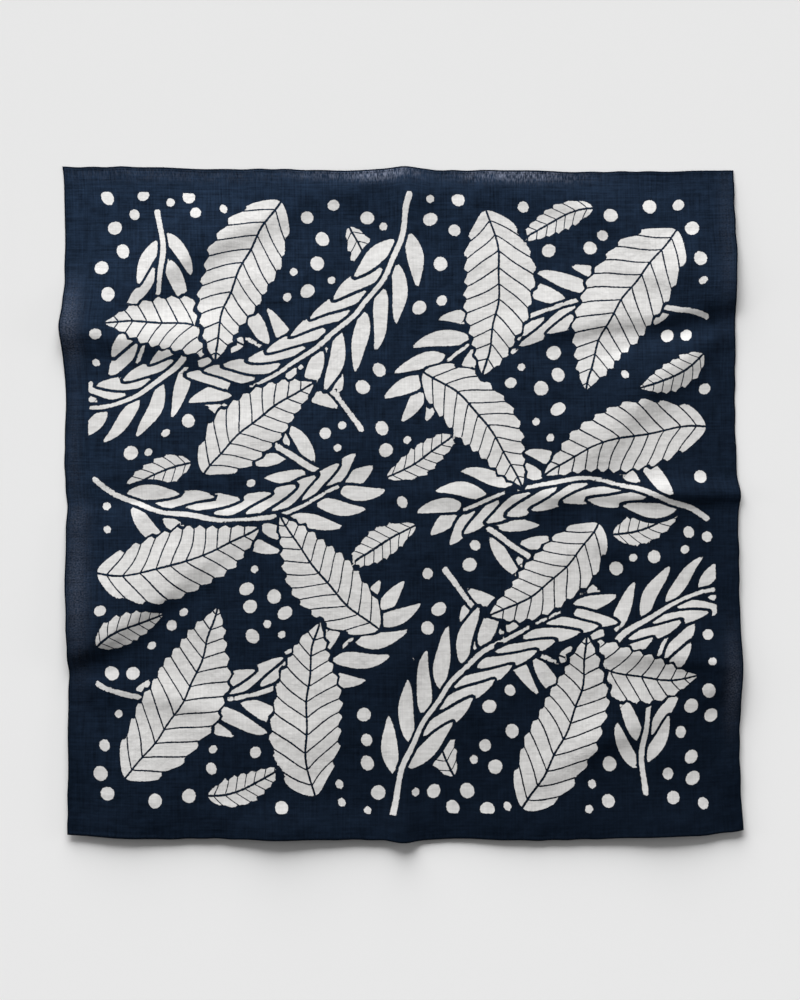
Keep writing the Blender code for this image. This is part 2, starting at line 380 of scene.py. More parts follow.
# The picture: 0.8 mm of floor to a pixel, seen from straight above
PIXEL = 0.8
PICTURE_HEIGHT = 1000
PICTURE_MIDDLE = (-1.3, 3.2)
CAMERA_HEIGHT = 2.0
SENSOR = 36.0

# The print's edges in mm: how far they wobble and blur, and the lines inside the leaves
PRINT_WOBBLE = 1.1
PRINT_EDGE = 0.16
VEIN_SCALE = 13.0
VEIN_HALF = 0.75
RIB_HALF = 0.9

# The cloth's colours and finish
NAVY = (0.0027, 0.0053, 0.0105)
NAVY_BACK = (0.004, 0.007, 0.013)
WHITE = (0.540, 0.532, 0.520)
# Painted light: the paler colour of the border, for light through its weave and for highlights
SHEER_PAINTED_LIGHT_COLOUR = (0.118, 0.132, 0.176, 1.0)
COTTON_ROUGHNESS = 0.8
COTTON_SPECULAR = 0.19
COTTON_TINT = (0.27, 0.51, 1.0, 1.0)
# The thread's dark colour; on the rim's faces it is painted shade along the edge
THREAD_AND_RIM_SHADE_COLOUR = (0.0015, 0.003, 0.006)
RIM_SPECULAR = 0.12
# How strongly the print shows on the face and on the underside. A face belongs to the
# underside where its normal's height is below UNDERSIDE_NORMAL.
FACE_PRINT = 1.0
BACK_PRINT = 0.45
UNDERSIDE_NORMAL = -0.3

# The dye carries painted light and shade: its colour is painted lighter towards the back left,
# where the light comes from, and darker towards the front right. It is multiplied by the first
# value at the front right and by the second at the back left. The slant is how much a step across
# counts against one back, and the reach is how far from the middle the change goes on, in mm.
FRONT_PAINTED_SHADE = 0.54
BACK_PAINTED_LIGHT = 2.0
PAINTED_LIGHT_SLANT = 0.55
PAINTED_LIGHT_REACH = 400.0
# How much uneven threads and cloudiness change the dye, and threads the pale print
THREAD_FADE = 2.0
CLOUD_FADE = 1.4
PALE_THREADS = 0.28

# Depths in mm of the weave, its uneven threads and its crinkle, and the pitch of the threads
THREAD_PITCH = 0.45
WEAVE_DEPTH = 0.035
THREAD_DEPTH = 0.08
CRINKLE_DEPTH = 0.66

# Noise: its features in a mm across, back and up, and its detail
Grain = namedtuple("Grain", "across back up detail")
WOBBLE_GRAIN = Grain(0.45, 0.45, 1.0, 3.0)
WEFT_GRAIN = Grain(0.035, 0.75, 1.0, 2.0)
WARP_GRAIN = Grain(0.75, 0.035, 1.0, 2.0)
CLOUD_GRAIN = Grain(0.1, 0.1, 1.0, 4.0)
CRINKLE_GRAIN = Grain(0.15, 0.15, 1.0, 5.0)
CLUSTER_GRAIN = Grain(0.16, 0.16, 1.0, 1.0)
BACK_GRAIN = Grain(1.0, 0.26, 1.0, 1.0)
SIDE_GRAIN = Grain(0.7, 0.9, 1.0, 1.0)
# How much the painted light's clusters count, and between which values of noise a streak sets in
CLUSTER_SHARE = 0.4
BACK_STREAK = (0.52, 0.98)
BACK_STREAK_GAIN = 1.25
SIDE_STREAK = (0.2, 0.85)
# The twist of the sewing thread: features in a metre, and its depth in mm
TWIST_GRAIN = Grain(4000.0, 4000.0, 4000.0, 1.0)
TWIST_FADE = 0.8
TWIST_DEPTH = 0.05

# Light: soft panels that face the cloth, and faint light all round
Panel = namedtuple("Panel", "name x y z width height power")
PANELS = [
    Panel("back_panel", -0.36, 1.95, 0.94, 2.05, 1.75, 130.0),
    Panel("left_panel", -2.1, 0.3, 0.55, 1.4, 0.9, 15.0),
    Panel("right_panel", 2.1, 0.1, 0.50, 1.4, 0.8, 12.0),
]
AMBIENT = 0.12
# A panel's light on the floor is reckoned from this many points each way
PANEL_STEPS = 6

# The floor's size, how bright it looks from above, and how pale it can be at most
FLOOR_SIZE = 8.0
FLOOR_CELLS = 100
FLOOR_BRIGHTNESS = 0.807
FLOOR_PALEST = 0.96


def smooth_step(t):
    t = np.clip(t, 0.0, 1.0)
    return t * t * (3.0 - 2.0 * t)


def side_length(side):
    x0, y0 = CORNERS[side.start]
    x1, y1 = CORNERS[side.end]
    return math.hypot(x1 - x0, y1 - y0)


def side_out(name, share):
    """How far a side stands out from the straight line between its corners."""
    side = SIDES[name]
    along = share * side_length(side)
    out = side.bow * (1.0 - np.abs(2.0 * share - 1.0) ** side.squareness)
    for bump in BUMPS:
        if bump.side == name:
            out = out + bump.out * np.exp(-(((along - bump.along) / bump.spread) ** 2))
    return out


def side_share(depth):
    """How much of a side's shift reaches a point that lies depth mm inside it."""
    return np.exp(-((depth / SIDE_FADE) ** 2))


def plan_point(across, back):
    """Place on the floor of a flat place of the cloth."""
    place = []
    for axis in (0, 1):
        front = (1 - across) * CORNERS["front_left"][axis] + across * CORNERS["front_right"][axis]
        rear = (1 - across) * CORNERS["back_left"][axis] + across * CORNERS["back_right"][axis]
        place.append((1 - back) * front + back * rear)
    x, y = place
    width = side_length(SIDES["back"])
    depth = side_length(SIDES["left"])
    x = x + side_out("right", 1 - back) * side_share((1 - across) * width)
    x = x - side_out("left", 1 - back) * side_share(across * width)
    y = y + side_out("back", across) * side_share((1 - back) * depth)
    y = y - side_out("front", across) * side_share(back * depth)
    return x, y


def fold_rise(fold, x, y, samples=24):
    """Height that one fold adds at the points x, y."""
    run_x = fold.x1 - fold.x0
    run_y = fold.y1 - fold.y0
    length = math.hypot(run_x, run_y)
    side_x = -run_y / length
    side_y = run_x / length
    half_step = 0.5 * length / samples
    nearest = np.full(x.shape, 1e9)
    share = np.zeros(x.shape)
    offset = np.zeros(x.shape)
    for k in range(samples + 1):
        t = k / samples
        aside = 4.0 * fold.bow * t * (1.0 - t)
        turn = 4.0 * fold.bow * (1.0 - 2.0 * t) / length
        scale = 1.0 / math.hypot(1.0, turn)
        ahead_x = (run_x / length + side_x * turn) * scale
        ahead_y = (run_y / length + side_y * turn) * scale
        dx = x - (fold.x0 + run_x * t + side_x * aside)
        dy = y - (fold.y0 + run_y * t + side_y * aside)
        ahead = dx * ahead_x + dy * ahead_y
        off = dy * ahead_x - dx * ahead_y
        reach = np.hypot(off, np.maximum(np.abs(ahead) - half_step, 0.0))
        nearer = reach < nearest
        nearest = np.where(nearer, reach, nearest)
        share = np.where(nearer, np.clip(t + ahead / length, 0.0, 1.0), share)
        offset = np.where(nearer, off, offset)
    # lean is 1 straight behind the crest and -1 in front of it
    lean = np.clip(offset / np.maximum(nearest, 1e-6), -1.0, 1.0) * math.copysign(1.0, side_y)
    half_width = fold.front + (fold.back - fold.front) * (0.5 + 0.5 * lean)
    crest = np.where(
        share < 0.5,
        fold.rise0 + (fold.rise - fold.rise0) * smooth_step(2.0 * share),
        fold.rise + (fold.rise1 - fold.rise) * smooth_step(2.0 * share - 1.0),
    )
    return crest * np.exp(-((nearest / half_width) ** 2))


def swell_rise(swell, x, y):
    turn = math.radians(swell.tilt)
    u = (x - swell.x) * math.cos(turn) + (y - swell.y) * math.sin(turn)
    v = (y - swell.y) * math.cos(turn) - (x - swell.x) * math.sin(turn)
    return swell.rise * np.exp(-((u / swell.across) ** 2) - ((v / swell.along) ** 2))


def ripple_rise(x, y):
    """Soft unevenness all over the cloth."""
    rng = np.random.default_rng(RIPPLE_SEED)
    total = np.zeros(x.shape)
    for ripple in RIPPLES:
        for _ in range(ripple.waves):
            heading = rng.uniform(0, math.pi)
            length = ripple.length * rng.uniform(*RIPPLE_VARIES)
            phase = rng.uniform(0, 2 * math.pi)
            run = x * math.cos(heading) + y * math.sin(heading)
            total += ripple.rise * np.sin(2 * math.pi * run / length + phase)
    return total / math.sqrt(RIPPLE_CROWD)


def scattered_wrinkles():
    """Small folds at even random over the cloth, most of them slanting."""
    rng = np.random.default_rng(WRINKLE_SEED)
    wrinkles = []
    for k in range(WRINKLES):
        x, y = rng.uniform(-SCATTER, SCATTER, 2)
        heading = math.radians(rng.choice(WRINKLE_HEADINGS) + rng.normal(0, WRINKLE_STRAY))
        length = rng.uniform(*WRINKLE_LENGTH)
        rise = rng.uniform(*WRINKLE_RISE)
        width = rng.uniform(*WRINKLE_WIDTH)
        x1 = x + length * math.cos(heading)
        y1 = y + length * math.sin(heading)
        bow = rng.uniform(-WRINKLE_BOW, WRINKLE_BOW)
        back = WRINKLE_BACK * width
        wrinkles.append(Fold(f"wrinkle_{k}", x, y, x1, y1, bow, 0.0, rise, 0.0, back, width))
    return wrinkles


def underside_height(x, y):
    """Height of the cloth's underside, which settles softly onto the floor."""
    height = np.full(x.shape, -FLOOR_LEVEL)
    for swell in SWELLS:
        height = height + swell_rise(swell, x, y)
    for fold in RIDGES + TROUGHS + FINE_FOLDS + scattered_wrinkles():
        height = height + fold_rise(fold, x, y)
    height = height + ripple_rise(x, y)
    return 0.5 * (height + np.sqrt(height * height + SETTLE * SETTLE))


def grid_lines(length):
    """Shares of the length at which the grid lines stand: the hems, and the lines between."""
    hem = np.array(HEM_LINES) / length
    inner = np.linspace(hem[-1], 1.0 - hem[-1], CELLS + 1)
    return np.concatenate((hem, inner[1:-1], 1.0 - hem[::-1]))


def cloth_middle():
    """Middle of the box around the outline, which the solid has at the origin."""
    share = np.linspace(0.0, 1.0, OUTLINE_POINTS)
    x = [plan_point(np.full(share.shape, side), share)[0] for side in (0.0, 1.0)]
    y = [plan_point(share, np.full(share.shape, side))[1] for side in (0.0, 1.0)]
    return 0.5 * (np.min(x) + np.max(x)), 0.5 * (np.min(y) + np.max(y))


MIDDLE = cloth_middle()


def rim_wave(along):
    """How far the rim stands out or in, in mm, along a side."""
    short = np.sin(along / RIM_SHORT + RIM_SHIFT * np.sin(along / RIM_DRIFT))
    return RIM_WAVE * (short + np.sin(along / RIM_LONG))


def pucker(along):
    """Share of a pucker's rise along a side."""
    turn = 2 * math.pi * along / PUCKER_LENGTH + PUCKER_SHIFT * np.sin(along / PUCKER_DRIFT)
    return 0.5 + 0.5 * np.sin(turn)


def cloth_point(across, back):
    """Where a flat place of the cloth's underside lies, in mm."""
    left = across * FLAT_WIDTH
    front = back * FLAT_DEPTH
    right = FLAT_WIDTH - left
    rear = FLAT_DEPTH - front
    x, y = plan_point(across, back)
    z = underside_height(x, y)
    rims = (
        (left, front, -1, 0),
        (right, front + RIGHT_START, 1, 0),
        (front, left + FRONT_START, 0, -1),
        (rear, left + BACK_START, 0, 1),
    )
    for inset, along, out_x, out_y in rims:
        wave = rim_wave(along) * np.exp(-((inset / RIM_REACH) ** 2))
        x = x + out_x * wave
        y = y + out_y * wave
        puckered = PUCKER_RISE * pucker(along + PUCKER_SLANT * inset)
        z = z + puckered * np.exp(-((inset / PUCKER_REACH) ** 2))
    sides = {"left": (left, rear), "right": (right, rear), "front": (front, left)}
    for curl in CURLS:
        inset, along = sides[curl.side]
        share = np.exp(-(((along - curl.along) / curl.spread) ** 2) - (inset / curl.reach) ** 2)
        z = z + curl.rise * share
    return x - MIDDLE[0], y - MIDDLE[1], z


def cut_place(place, along, wave):
    """A coordinate that strays as in a design that is cut by hand."""
    long = CUT_LONG * np.sin(along / wave.long + wave.start)
    short = CUT_SHORT * np.sin(along / wave.short + place / wave.cross)
    return place + long + short


class Print:
    """The printed design at a set of points of the flat cloth, in mm from its middle.

    Each layer holds how far a point lies inside the nearest motif of that layer. Motifs that
    lie close together are on different layers, so that a thin gap between them stays open.
    """

    def __init__(self, x, y):
        self.x = x
        self.y = y
        self.cut_x = cut_place(x, y, CUT_X)
        self.cut_y = cut_place(y, x, CUT_Y)
        self.covered = np.full(x.shape, NOWHERE)
        self.layers = [np.full(x.shape, NOWHERE) for _ in range(4)]
        self.leaf = np.full(x.shape, NOWHERE)
        self.vein = np.zeros(x.shape)
        self.rib = np.full(x.shape, -NOWHERE)

    def near(self, line, reach):
        """Indices of the points in a box around a line."""
        low = np.min(line, axis=0) - reach
        high = np.max(line, axis=0) + reach
        inside_x = (self.cut_x > low[0]) & (self.cut_x < high[0])
        inside_y = (self.cut_y > low[1]) & (self.cut_y < high[1])
        return np.flatnonzero(inside_x & inside_y)

    def stroke(self, line, radii, index):
        """How far each point lies inside a line of round brush marks."""
        inside = np.full(index.shape, NOWHERE)
        for (x, y), radius in zip(line, radii):
            away = np.hypot(self.cut_x[index] - x, self.cut_y[index] - y)
            inside = np.maximum(inside, radius - away)
        return inside

    def behind(self, index, inside, gap=MOTIF_GAP):
        """A motif cut back where earlier ones cover it."""
        return np.minimum(inside, -self.covered[index] - gap)

    def put(self, index, inside, least=LEAST_MOTIF):
        """Adds a motif to the layer that has most room around it, if enough of it shows."""
        shown = self.behind(index, inside)
        if shown.size == 0 or shown.max() < least:
            return
        near = shown > -LAYER_REACH
        room = [min((-layer[index][near]).min(), LAYER_ROOM) for layer in self.layers]
        layer = self.layers[int(np.argmax(room))]
        layer[index] = np.maximum(layer[index], shown)
        self.covered[index] = np.maximum(self.covered[index], inside)

    def clear_scraps(self, spots, lines):
        """Takes out thin scraps of motifs. spots are the points' places in a grid of lines."""
        for number, layer in enumerate(self.layers):
            grid = np.full((lines, lines), NOWHERE)
            grid.flat[spots] = layer
            for axis in (0, 1):
                shifts = range(-SCRAP_REACH, SCRAP_REACH + 1)
                grid = np.max([np.roll(grid, shift, axis) for shift in shifts], axis=0)
            self.layers[number] = np.where(grid.flat[spots] < SCRAP_WIDTH, NOWHERE, layer)

    def trim(self):
        """Keeps the design inside its straight-edged panel."""
        panel = np.minimum(PRINT_HALF_WIDTH - np.abs(self.x), PRINT_HALF_DEPTH - np.abs(self.y))
        self.layers = [np.minimum(layer, panel) for layer in self.layers]
        self.leaf = np.minimum(self.leaf, panel)


def bent_line(x, y, heading, length, turn, steps):
    """Points and headings along a line that turns evenly, by turn degrees in all."""
    line = [(x, y)]
    headings = [heading]
    step = length / steps
    for k in range(steps):
        angle = math.radians(heading + turn * (k + 0.5) / steps)
        x += step * math.cos(angle)
        y += step * math.sin(angle)
        line.append((x, y))
        headings.append(heading + turn * (k + 1) / steps)
    return line, headings


def print_blade(design, x, y, heading, length, turn, width):
    """A slender leaf."""
    steps = max(int(length / BLADE_STEP), BLADE_STEPS)
    line, _ = bent_line(x, y, heading, length, turn, steps)
    radii = []
    for k in range(steps + 1):
        share = min((k / steps) ** BLADE_POWER, 1.0)
        full = abs(math.sin(math.pi * share)) ** BLADE_POWER
        radii.append(0.5 * width * full + BLADE_TIP)
    index = design.near(line, width + MARGIN)
    design.put(index, design.stroke(line, radii, index), least=LEAST_BLADE)


def print_leaf(design, leaf):
    """A leaf with a midrib, slanting veins and a lobed rim."""
    line, headings = bent_line(leaf.x, leaf.y, leaf.heading, leaf.length, leaf.turn, LEAF_STEPS)
    radii = []
    for k in range(LEAF_STEPS + 1):
        share = k / LEAF_STEPS
        full = math.sin(math.pi * share**LEAF_BASE_POWER) ** LEAF_FULL_POWER if share < 1.0 else 0.0
        radii.append(leaf.half_width * full * (1 - LEAF_NARROWING * share) + LEAF_TIP)
    index = design.near(line, leaf.half_width + MARGIN)
    inside = design.stroke(line, radii, index)
    nearest = np.full(index.shape, -NOWHERE)
    along = np.zeros(index.shape)
    off = np.zeros(index.shape)
    for k, ((x, y), heading) in enumerate(zip(line, headings)):
        dx = design.cut_x[index] - x
        dy = design.cut_y[index] - y
        ahead_x = math.cos(math.radians(heading))
        ahead_y = math.sin(math.radians(heading))
        away = np.hypot(dx, dy)
        nearer = away < nearest
        nearest = np.where(nearer, away, nearest)
        run = k * leaf.length / LEAF_STEPS + dx * ahead_x + dy * ahead_y
        along = np.where(nearer, run, along)
        off = np.where(nearer, dy * ahead_x - dx * ahead_y, off)
    vein = (along - VEIN_SLANT * np.abs(off)) / leaf.vein
    lobed = np.clip((np.abs(off) - LOBE_START) / LOBE_RUN, 0, 1)
    inside = inside - LOBE_INSET + LOBE_DEPTH * np.cos(2 * math.pi * vein) * lobed
    shown = design.behind(index, inside, LEAF_GAP)
    marked = (shown > -LEAF_SPILL) & (shown > design.leaf[index])
    design.leaf[index] = np.maximum(design.leaf[index], shown)
    design.vein[index[marked]] = vein[marked]
    design.rib[index[marked]] = off[marked]
    design.covered[index] = np.maximum(design.covered[index], inside)


def print_spray(design, spray):
    """A bent stem with pairs of slender leaves, and one at its tip."""
    steps = STEM_STEPS
    line, headings = bent_line(spray.x, spray.y, spray.heading, spray.length, spray.turn, steps)
    radii = [STEM_RADIUS - STEM_TAPER * k / steps for k in range(steps + 1)]
    index = design.near(line, STEM_REACH)
    design.put(index, design.stroke(line, radii, index), least=LEAST_STEM)
    for k in range(spray.pairs):
        share = FIRST_PAIR + PAIR_SPAN * k / (spray.pairs - 1)
        swell = math.sin(math.pi * (SWELL_START + SWELL_SPAN * share))
        length = spray.leaf_length * (PAIR_LENGTH + PAIR_SWELL * swell)
        for side, behind in ((1, 0), (-1, PAIR_STAGGER)):
            at = min(int(share * steps) + behind, steps)
            heading = headings[at] + side * spray.splay
            x = line[at][0] + STALK * math.cos(math.radians(heading))
            y = line[at][1] + STALK * math.sin(math.radians(heading))
            print_blade(design, x, y, heading, length, -side * BLADE_TURN, spray.leaf_width)
    x, y = line[-1]
    length = TIP_SHARE * spray.leaf_length
    print_blade(design, x, y, headings[-1], length, TIP_TURN, spray.leaf_width)


def print_berries(design):
    """Dots in every open place, largest first."""
    rng = np.random.default_rng(BERRY_SEED)
    for berries in BERRIES:
        for _ in range(berries.tries):
            x, y = rng.uniform(-SCATTER, SCATTER, 2)
            at = design.near([(x, y)], BERRY_LOOK)
            if at.size == 0 or -design.covered[at].max() < berries.radius + BERRY_GAP:
                continue
            index = design.near([(x, y)], berries.radius + MARGIN)
            design.put(index, design.stroke([(x, y)], [berries.radius], index))


def lay_print(x, y, spots, lines):
    """Draws the whole design. What is drawn first lies in front."""
    design = Print(x, y)
    drawers = ((BROAD_LEAVES, print_leaf), (SPRAYS, print_spray), (SMALL_LEAVES, print_leaf))
    for rows, draw in drawers:
        for row in rows:
            draw(design, row)
            draw(design, row._replace(x=-row.x, y=-row.y, heading=row.heading + 180))
    print_berries(design)
    design.clear_scraps(spots, lines)
    design.trim()
    return design


def sheer_painted_light_share(places, x, y):
    """How much painted light the plain border gets: light through the weave, and highlights."""
    share = np.zeros(x.shape)
    for place in places:
        away = ((x - place.x) / place.across) ** 2 + ((y - place.y) / place.along) ** 2
        share = np.maximum(share, place.strength * np.exp(-away))
    return share


class Nodes:
    """A material and short ways to add its nodes."""

    def __init__(self, name):
        self.material = bpy.data.materials.new(name)
        self.material.use_nodes = True
        self.tree = self.material.node_tree
        self.shader = self.tree.nodes["Principled BSDF"]

    def add(self, kind, **settings):
        node = self.tree.nodes.new(kind)
        for key, value in settings.items():
            setattr(node, key, value)
        return node

    def feed(self, socket, value):
        if isinstance(value, bpy.types.NodeSocket):
            self.tree.links.new(value, socket)
        else:
            socket.default_value = value

    def shade(self, **values):
        """Feeds sockets of the shader, named in lower case with underscores."""
        for socket in self.shader.inputs:
            key = socket.name.lower().replace(" ", "_")
            if key in values:
                self.feed(socket, values[key])

    def math(self, operation, *values, kind="ShaderNodeMath"):
        node = self.add(kind, operation=operation)
        for socket, value in zip(node.inputs, values):
            self.feed(socket, value)
        return node.outputs[0]

    def times(self, first, second):
        return self.math("MULTIPLY", first, second)

    def plus(self, first, second):
        return self.math("ADD", first, second)

    def vector(self, operation, *values):
        return self.math(operation, *values, kind="ShaderNodeVectorMath")

    def split(self, vector):
        node = self.add("ShaderNodeSeparateXYZ")
        self.feed(node.inputs[0], vector)
        return node.outputs

    def field(self, name, output="Vector"):
        """A field that a mesh holds at its points."""
        return self.add("ShaderNodeAttribute", attribute_name=name).outputs[output]

    def noise(self, vector, grain):
        """Noise from 0 to 1."""
        node = self.add("ShaderNodeTexNoise")
        self.feed(node.inputs["Vector"], self.vector("MULTIPLY", vector, grain[:3]))
        self.feed(node.inputs["Scale"], 1.0)
        self.feed(node.inputs["Detail"], grain.detail)
        return node.outputs[0]

    def step(self, value, low, high, first=0.0, last=1.0):
        """Goes smoothly from first to last while value goes from low to high."""
        node = self.add("ShaderNodeMapRange", interpolation_type="SMOOTHSTEP")
        for socket, number in zip(node.inputs, (value, low, high, first, last)):
            self.feed(socket, number)
        return node.outputs[0]

    def mix(self, share, first, second):
        node = self.add("ShaderNodeMix", data_type="RGBA")
        self.feed(node.inputs[0], share)
        self.feed(node.inputs[6], first)
        self.feed(node.inputs[7], second)
        return node.outputs[2]

    def bump(self, height, distance):
        node = self.add("ShaderNodeBump")
        self.feed(node.inputs["Distance"], distance)
        self.feed(node.inputs["Height"], height)
        self.feed(self.shader.inputs["Normal"], node.outputs[0])


def print_mask(nodes, place):
    """1 where the cloth is left pale, 0 where it is dyed."""
    layer = nodes.split(nodes.vector("MAXIMUM", nodes.field("print_a"), nodes.field("print_b")))
    inside = nodes.math("MAXIMUM", nodes.math("MAXIMUM", layer[0], layer[1]), layer[2])
    wobble = nodes.math("SUBTRACT", nodes.noise(place, WOBBLE_GRAIN), 0.5)
    wobble = nodes.times(wobble, PRINT_WOBBLE)
    plain = nodes.step(nodes.plus(inside, wobble), -PRINT_EDGE, PRINT_EDGE)

    leaf, vein, rib = nodes.split(nodes.field("leaf_marks"))
    blade = nodes.step(nodes.plus(leaf, wobble), -PRINT_EDGE, PRINT_EDGE)
    phase = nodes.math("SUBTRACT", nodes.math("FRACT", vein), 0.5)
    from_vein = nodes.times(nodes.math("ABSOLUTE", phase), VEIN_SCALE)
    from_vein = nodes.plus(from_vein, wobble)
    from_rib = nodes.plus(nodes.math("ABSOLUTE", rib), wobble)
    off_vein = nodes.step(from_vein, VEIN_HALF - PRINT_EDGE, VEIN_HALF + PRINT_EDGE)
    off_rib = nodes.step(from_rib, RIB_HALF - PRINT_EDGE, RIB_HALF + PRINT_EDGE)
    blade = nodes.times(blade, nodes.times(off_vein, off_rib))
    return nodes.math("MAXIMUM", plain, blade)


def threads(nodes, place):
    """Uneven threads both ways, around 0."""
    both = nodes.plus(nodes.noise(place, WEFT_GRAIN), nodes.noise(place, WARP_GRAIN))
    return nodes.math("SUBTRACT", both, 1.0)


def weave(nodes, place):
    """Height of a plain weave, from 0 to 1."""
    turn = math.pi / THREAD_PITCH
    x, y, _ = nodes.split(nodes.vector("MULTIPLY", place, (turn, turn, 1.0)))
    crossing = nodes.times(nodes.math("SINE", x), nodes.math("SINE", y))
    return nodes.plus(nodes.times(crossing, 0.5), 0.5)


def scaled(nodes, colour, gain):
    """A colour times a gain."""
    node = nodes.add("ShaderNodeVectorMath", operation="SCALE")
    node.inputs[0].default_value = colour[:3]
    nodes.feed(node.inputs["Scale"], gain)
    return node.outputs[0]


def tinted(nodes, colour, share, amount):
    """A colour that share, around 0, makes lighter and darker by amount."""
    return scaled(nodes, colour, nodes.plus(nodes.times(share, amount), 1.0))


def dye_with_painted_light(nodes, place, dyed, uneven):
    """Dye with uneven threads and clouds, and painted light and shade: paler back left, darker
    front right.
    """
    cloud = nodes.math("SUBTRACT", nodes.noise(place, CLOUD_GRAIN), 0.5)
    cloud = nodes.times(cloud, CLOUD_FADE)
    patchy = nodes.plus(nodes.times(uneven, THREAD_FADE), cloud)
    patchy = nodes.math("MAXIMUM", nodes.plus(patchy, 1.0), 0.0)
    # Painted light and shade: lighter towards the back left, darker towards the front right
    across, back, _ = nodes.split(place)
    slant = nodes.math("SUBTRACT", back, nodes.times(across, PAINTED_LIGHT_SLANT))
    painted_light = nodes.step(slant, -PAINTED_LIGHT_REACH, PAINTED_LIGHT_REACH, FRONT_PAINTED_SHADE, BACK_PAINTED_LIGHT)
    return scaled(nodes, dyed, nodes.times(patchy, painted_light))


def sheer_painted_light_streaks(nodes, place):
    """Share of the painted light's colour: clustered streaks at the back, flecks at the sides."""
    back_painted_sheer, side_painted_sheer, _ = nodes.split(nodes.field("sheer_painted_light"))
    cluster = nodes.times(nodes.noise(place, CLUSTER_GRAIN), CLUSTER_SHARE)
    back_streak = nodes.plus(nodes.noise(place, BACK_GRAIN), cluster)
    back_streak = nodes.step(back_streak, *BACK_STREAK, 0.0, BACK_STREAK_GAIN)
    side_streak = nodes.step(nodes.noise(place, SIDE_GRAIN), *SIDE_STREAK)
    back_streak = nodes.times(back_streak, back_painted_sheer)
    side_streak = nodes.times(side_streak, side_painted_sheer)
    return nodes.math("MAXIMUM", back_streak, side_streak)


def cotton_height(nodes, place, uneven):
    """Height of weave, uneven threads and crinkle, in depths of the weave."""
    thick = nodes.times(uneven, THREAD_DEPTH / WEAVE_DEPTH)
    height = nodes.plus(weave(nodes, place), thick)
    crinkle = nodes.noise(place, CRINKLE_GRAIN)
    crinkle = nodes.times(crinkle, CRINKLE_DEPTH / WEAVE_DEPTH)
    return nodes.plus(height, crinkle)


def cotton_material(name, dyed, pale, pale_share):
    """Dyed cotton with its pale print. pale_share is how strongly the print shows."""
    nodes = Nodes(name)
    place = nodes.field("flat_place")
    mask = nodes.times(print_mask(nodes, place), pale_share)
    uneven = threads(nodes, place)
    # The navy with its painted light and shade
    dark = dye_with_painted_light(nodes, place, dyed, uneven)
    # Painted light on the border: paler where light shines through its weave, and highlights at the
    # sides
    dark = nodes.mix(sheer_painted_light_streaks(nodes, place), dark, SHEER_PAINTED_LIGHT_COLOUR)
    light = tinted(nodes, pale, uneven, PALE_THREADS)
    nodes.shade(base_color=nodes.mix(mask, dark, light))
    nodes.shade(roughness=COTTON_ROUGHNESS, specular_ior_level=COTTON_SPECULAR)
    nodes.shade(specular_tint=COTTON_TINT)
    nodes.bump(cotton_height(nodes, place, uneven), WEAVE_DEPTH * MM)
    return nodes.material


def thread_and_rim_shade_material(name):
    """Dark sewing thread, which also paints the shade along the rim."""
    nodes = Nodes(name)
    twist = nodes.noise(nodes.add("ShaderNodeTexCoord").outputs["Object"], TWIST_GRAIN)
    share = nodes.math("SUBTRACT", twist, 0.5)
    nodes.shade(base_color=tinted(nodes, THREAD_AND_RIM_SHADE_COLOUR, share, TWIST_FADE))
    nodes.shade(roughness=COTTON_ROUGHNESS, specular_ior_level=RIM_SPECULAR)
    nodes.shade(specular_tint=COTTON_TINT)
    nodes.bump(twist, TWIST_DEPTH * MM)
    return nodes.material


def point_places(mesh):
    """A row of x, y and z for each point of a mesh."""
    spots = np.empty(len(mesh.vertices) * 3)
    mesh.vertices.foreach_get("co", spots)
    return spots.reshape(-1, 3)


def set_field(mesh, name, *columns):
    """Stores up to three numbers for each point of a mesh."""
    values = np.zeros((len(mesh.vertices), 3))
    for k, column in enumerate(columns):
        values[:, k] = column
    field = mesh.attributes.new(name, "FLOAT_VECTOR", "POINT")
    field.data.foreach_set("vector", values.ravel())


def add_thickness(cloth, ring):
    """Makes the sheet solid, thicker at its hem. ring counts the grid lines in from the rim."""
    hem = cloth.vertex_groups.new(name="hem")
    for k, share in enumerate(HEM_SHARES):
        hem.add([int(i) for i in np.flatnonzero(ring == k)], share, "REPLACE")
    hem.add([int(i) for i in np.flatnonzero(ring >= len(HEM_SHARES))], 0.0, "REPLACE")
    solidify = cloth.modifiers.new("thickness", "SOLIDIFY")
    solidify.thickness = HEM_THICKNESS * MM
    solidify.offset = 1.0
    solidify.vertex_group = hem.name
    solidify.thickness_vertex_group = SHEET_THICKNESS / HEM_THICKNESS
    bpy.ops.object.modifier_apply(modifier=solidify.name)


def add_materials(mesh, ring):
    """Gives the face, the underside and the rim of painted shade their materials."""
    mesh.materials.append(cotton_material("printed_cotton_face", NAVY, WHITE, FACE_PRINT))
    mesh.materials.append(cotton_material("printed_cotton_back", NAVY_BACK, WHITE, BACK_PRINT))
    mesh.materials.append(thread_and_rim_shade_material("overcast_rim"))
    normals = np.empty(len(mesh.polygons) * 3)
    mesh.polygons.foreach_get("normal", normals)
    slots = (normals.reshape(-1, 3)[:, 2] < UNDERSIDE_NORMAL).astype(np.int32)
    rings = np.concatenate((ring, ring))
    for face in mesh.polygons:
        if min(rings[vertex] for vertex in face.vertices) < RIM_RINGS:
            slots[face.index] = RIM_SLOT
    mesh.polygons.foreach_set("material_index", slots)


